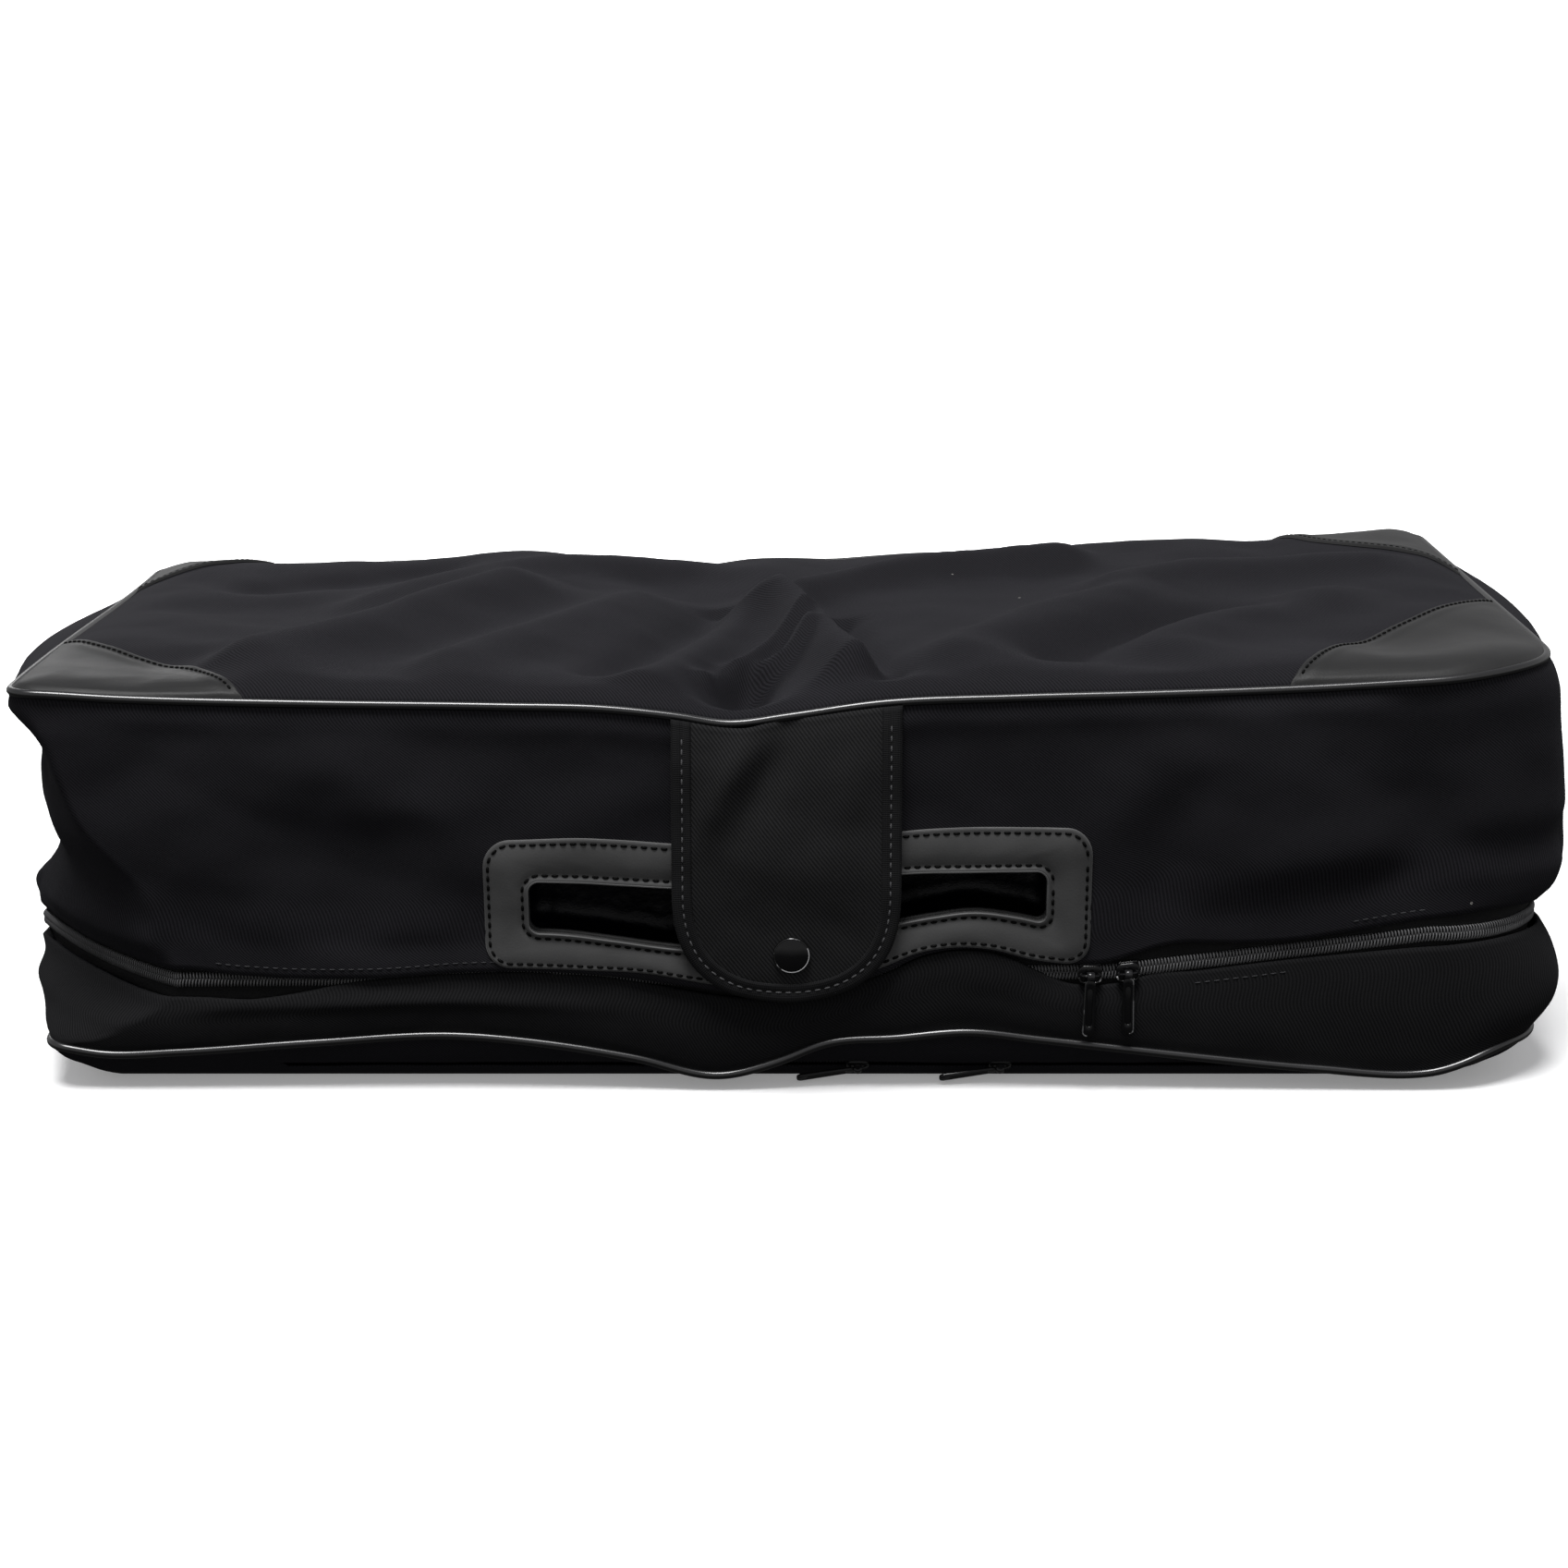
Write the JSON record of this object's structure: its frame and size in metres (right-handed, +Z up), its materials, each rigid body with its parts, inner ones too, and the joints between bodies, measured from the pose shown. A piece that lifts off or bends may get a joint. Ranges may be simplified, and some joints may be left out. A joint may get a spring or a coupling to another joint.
{
  "type": "garment bag",
  "caption": "Soft box-shaped garment bag: lid on a wrap-round zip, cut-out grip under a snap flap, corner patches, underside pocket.",
  "frame": {"origin": "bottom centre of the bounding box, on the surface the bag lies on", "axes": "+Z up, -Y out of the gusset with the grip, +X to the right when facing the grip"},
  "size_m": [0.6, 0.312, 0.17],
  "materials": {
    "cloth": "black twill nylon",
    "leatherette": "smooth dark grey synthetic leather",
    "piping": "glossy black vinyl",
    "lining": "satin",
    "elastic": "ribbed black elastic webbing",
    "zip_tape": "fine woven tape",
    "zip_coil": "moulded nylon coil",
    "hardware": "glossy black enamel"
  },
  "bodies": {
    "base": {"lower_front_gusset": "cloth", "lower_back_gusset": "cloth", "lower_left_end": "cloth", "lower_right_end": "cloth", "hinge_strip": "cloth", "bottom_piping": "piping", "base_floor": "cloth", "base_lining": "lining", "garment_band_left": "elastic", "garment_band_right": "elastic", "lower_zip_coil": "zip_coil", "lower_zip_tape": "zip_tape", "main_zip_stop_left": "hardware", "main_zip_stop_right": "hardware", "pocket_panel": "cloth", "pocket_upper_coil": "zip_coil", "pocket_lower_coil": "zip_coil", "pocket_upper_tape": "zip_tape", "pocket_lower_tape": "zip_tape"},
    "lid": {"upper_front_gusset": "cloth", "upper_back_gusset": "cloth", "upper_left_end": "cloth", "upper_right_end": "cloth", "top_piping": "piping", "top_panel": "cloth", "front_left_patch": "leatherette", "front_right_patch": "leatherette", "rear_left_patch": "leatherette", "rear_right_patch": "leatherette", "lid_lining": "lining", "upper_zip_coil": "zip_coil", "upper_zip_tape": "zip_tape", "handle_frame": "leatherette", "handle_backing": "leatherette", "snap_stud": "hardware", "snap_post": "hardware"},
    "flap": {"flap_panel": "cloth", "flap_binding": "cloth", "snap_cap": "hardware", "snap_socket": "hardware"},
    "slider_left": {"main_slider_left": "hardware"},
    "slider_right": {"main_slider_right": "hardware"},
    "pull_left": {"main_pull_left": "hardware"},
    "pull_right": {"main_pull_right": "hardware"},
    "pocket_slider_left": {"pocket_slider_left": "hardware"},
    "pocket_slider_right": {"pocket_slider_right": "hardware"},
    "pocket_pull_left": {"pocket_pull_left": "hardware"},
    "pocket_pull_right": {"pocket_pull_right": "hardware"}
  },
  "joints": [
    {"name": "lid_hinge", "type": "hinge", "parent": "base", "child": "lid", "pos_m": [0, 0.154, 0.047], "axis": [-1, 0, 0], "range_deg": [0, 110]},
    {"name": "flap_hinge", "type": "hinge", "parent": "lid", "child": "flap", "pos_m": [0, -0.1446, 0.1555], "axis": [-1, 0, 0], "range_deg": [0, 120]},
    {"name": "slider_left_slide", "type": "slide", "parent": "base", "child": "slider_left", "axis": [-1, 0, -0.009], "range_m": [0, 0.36]},
    {"name": "slider_right_slide", "type": "slide", "parent": "base", "child": "slider_right", "axis": [0.9923, 0, 0.124], "range_m": [0, 0.11]},
    {"name": "pull_left_swing", "type": "hinge", "parent": "slider_left", "child": "pull_left", "pos_m": [0.1225, -0.146, 0.04993], "axis": [-1, 0, 0], "range_deg": [0, 150]},
    {"name": "pull_right_swing", "type": "hinge", "parent": "slider_right", "child": "pull_right", "pos_m": [0.1375, -0.146, 0.05094], "axis": [-1, 0, 0], "range_deg": [0, 150]},
    {"name": "pocket_slider_left_slide", "type": "slide", "parent": "base", "child": "pocket_slider_left", "axis": [-1, 0, 0], "range_m": [0, 0.2]},
    {"name": "pocket_slider_right_slide", "type": "slide", "parent": "base", "child": "pocket_slider_right", "axis": [1, 0, 0], "range_m": [0, 0.1]},
    {"name": "pocket_pull_left_swing", "type": "hinge", "parent": "pocket_slider_left", "child": "pocket_pull_left", "pos_m": [0.03, -0.13278, 0.00581], "axis": [0, -0.7536, 0.6573], "range_deg": [0, 80]},
    {"name": "pocket_pull_right_swing", "type": "hinge", "parent": "pocket_slider_right", "child": "pocket_pull_right", "pos_m": [0.088, -0.13278, 0.00581], "axis": [0, -0.7536, 0.6573], "range_deg": [0, 80]}
  ]
}
